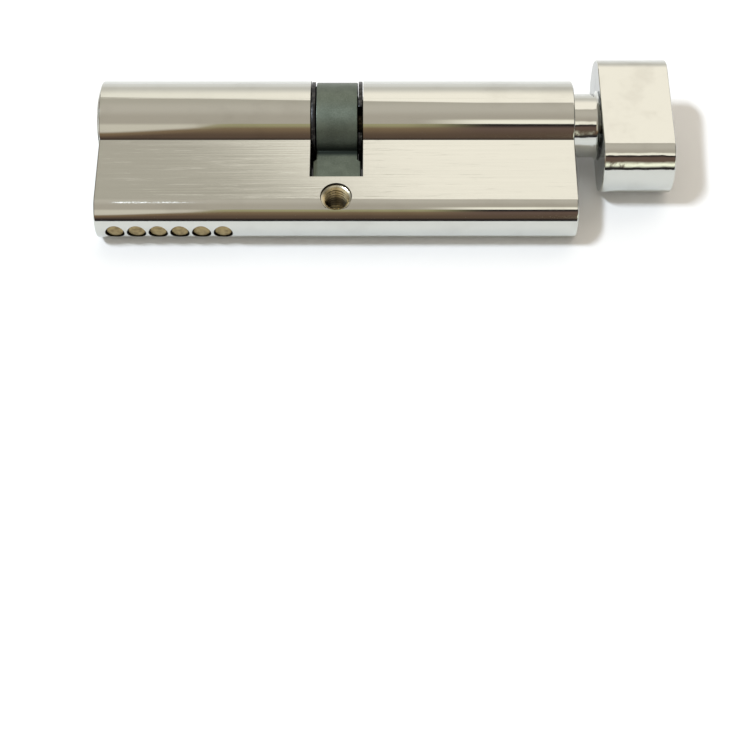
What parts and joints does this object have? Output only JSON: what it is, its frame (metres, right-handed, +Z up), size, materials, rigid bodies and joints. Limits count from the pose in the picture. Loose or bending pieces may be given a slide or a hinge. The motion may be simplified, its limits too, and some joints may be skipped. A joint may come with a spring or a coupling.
{
  "type": "euro cylinder",
  "caption": "Euro profile lock cylinder with a keyed plug at one end, a flat-sided thumbturn knob at the other, and a cam between them.",
  "frame": {"origin": "on the table, under the centre of the box that holds the part as it lies on its barrel and the end of its tail", "axes": "+X along the plug axis from the key end to the thumbturn, -Y towards the tail, +Z up from the table; the tail's flats lean 10.3 degrees from level"},
  "size_m": [0.109, 0.0383, 0.017],
  "materials": {
    "bright_nickel": "polished nickel plate, brushed along the flats",
    "brass": "dull bare brass",
    "dark_sintered_iron": "matte dark phosphate",
    "dark_steel": "blackened spring steel",
    "spring_steel": "bright drawn wire"
  },
  "bodies": {
    "body": {"cylinder_body": "bright_nickel", "chamber_plug_1": "brass", "chamber_plug_2": "brass", "chamber_plug_3": "brass", "chamber_plug_4": "brass", "chamber_plug_5": "brass", "chamber_plug_6": "brass", "pin_spring_1": "spring_steel", "pin_spring_2": "spring_steel", "pin_spring_3": "spring_steel", "pin_spring_4": "spring_steel", "pin_spring_5": "spring_steel", "pin_spring_6": "spring_steel"},
    "key_plug": {"key_plug": "bright_nickel", "key_plug_clip": "dark_steel"},
    "thumbturn": {"turn_plug": "bright_nickel", "turn_plug_clip": "dark_steel", "thumbturn_knob": "bright_nickel", "knob_grub_screw": "dark_steel", "clutch_spring": "spring_steel"},
    "cam": {"cam": "dark_sintered_iron"},
    "clutch_dog": {"clutch_dog": "dark_steel"},
    "clutch_pusher": {"clutch_pusher": "dark_steel"},
    "key_pin_1": {"key_pin_1": "brass"},
    "driver_pin_1": {"driver_pin_1": "brass"},
    "key_pin_2": {"key_pin_2": "brass"},
    "driver_pin_2": {"driver_pin_2": "brass"},
    "key_pin_3": {"key_pin_3": "brass"},
    "driver_pin_3": {"driver_pin_3": "brass"},
    "key_pin_4": {"key_pin_4": "brass"},
    "driver_pin_4": {"driver_pin_4": "brass"},
    "key_pin_5": {"key_pin_5": "brass"},
    "driver_pin_5": {"driver_pin_5": "brass"},
    "key_pin_6": {"key_pin_6": "brass"},
    "driver_pin_6": {"driver_pin_6": "brass"}
  },
  "joints": [
    {"name": "thumbturn_turn", "type": "hinge", "parent": "body", "child": "thumbturn", "pos_m": [-0.00915, 0.00503, 0.0085], "axis": [1, 0, 0], "continuous": true},
    {"name": "cam_turn", "type": "hinge", "parent": "body", "child": "cam", "pos_m": [-0.00915, 0.00503, 0.0085], "axis": [1, 0, 0], "continuous": true},
    {"name": "key_plug_turn", "type": "hinge", "parent": "body", "child": "key_plug", "pos_m": [-0.00915, 0.00503, 0.0085], "axis": [1, 0, 0], "continuous": true},
    {"name": "clutch_slide", "type": "slide", "parent": "thumbturn", "child": "clutch_dog", "axis": [1, 0, 0], "range_m": [0, 0.0023], "stiffness_N_per_m": 150, "springref_m": -0.003, "deforming": ["clutch_spring"]},
    {"name": "pusher_slide", "type": "slide", "parent": "key_plug", "child": "clutch_pusher", "axis": [1, 0, 0], "range_m": [0, 0.0023]},
    {"name": "key_pin_1_slide", "type": "slide", "parent": "key_plug", "child": "key_pin_1", "axis": [0, 0.9838, 0.1795], "range_m": [0, 0.00175]},
    {"name": "key_pin_2_slide", "type": "slide", "parent": "key_plug", "child": "key_pin_2", "axis": [0, 0.9838, 0.1795], "range_m": [0, 0.00085]},
    {"name": "key_pin_3_slide", "type": "slide", "parent": "key_plug", "child": "key_pin_3", "axis": [0, 0.9838, 0.1795], "range_m": [0, 0.0013]},
    {"name": "key_pin_4_slide", "type": "slide", "parent": "key_plug", "child": "key_pin_4", "axis": [0, 0.9838, 0.1795], "range_m": [0, 0.0004]},
    {"name": "key_pin_5_slide", "type": "slide", "parent": "key_plug", "child": "key_pin_5", "axis": [0, 0.9838, 0.1795], "range_m": [0, 0.0022]},
    {"name": "key_pin_6_slide", "type": "slide", "parent": "key_plug", "child": "key_pin_6", "axis": [0, 0.9838, 0.1795], "range_m": [0, 0.0013]},
    {"name": "driver_pin_1_slide", "type": "slide", "parent": "body", "child": "driver_pin_1", "axis": [0, -0.9838, -0.1795], "range_m": [0, 0.002], "stiffness_N_per_m": 120, "springref_m": -0.004, "deforming": ["pin_spring_1"]},
    {"name": "driver_pin_2_slide", "type": "slide", "parent": "body", "child": "driver_pin_2", "axis": [0, -0.9838, -0.1795], "range_m": [0, 0.002], "stiffness_N_per_m": 120, "springref_m": -0.004, "deforming": ["pin_spring_2"]},
    {"name": "driver_pin_3_slide", "type": "slide", "parent": "body", "child": "driver_pin_3", "axis": [0, -0.9838, -0.1795], "range_m": [0, 0.002], "stiffness_N_per_m": 120, "springref_m": -0.004, "deforming": ["pin_spring_3"]},
    {"name": "driver_pin_4_slide", "type": "slide", "parent": "body", "child": "driver_pin_4", "axis": [0, -0.9838, -0.1795], "range_m": [0, 0.002], "stiffness_N_per_m": 120, "springref_m": -0.004, "deforming": ["pin_spring_4"]},
    {"name": "driver_pin_5_slide", "type": "slide", "parent": "body", "child": "driver_pin_5", "axis": [0, -0.9838, -0.1795], "range_m": [0, 0.002], "stiffness_N_per_m": 120, "springref_m": -0.004, "deforming": ["pin_spring_5"]},
    {"name": "driver_pin_6_slide", "type": "slide", "parent": "body", "child": "driver_pin_6", "axis": [0, -0.9838, -0.1795], "range_m": [0, 0.002], "stiffness_N_per_m": 120, "springref_m": -0.004, "deforming": ["pin_spring_6"]}
  ],
  "couplings": [
    {"joint": "cam_turn", "follows": "thumbturn_turn", "ratio": 1},
    {"joint": "pusher_slide", "follows": "clutch_slide", "ratio": 1}
  ]
}
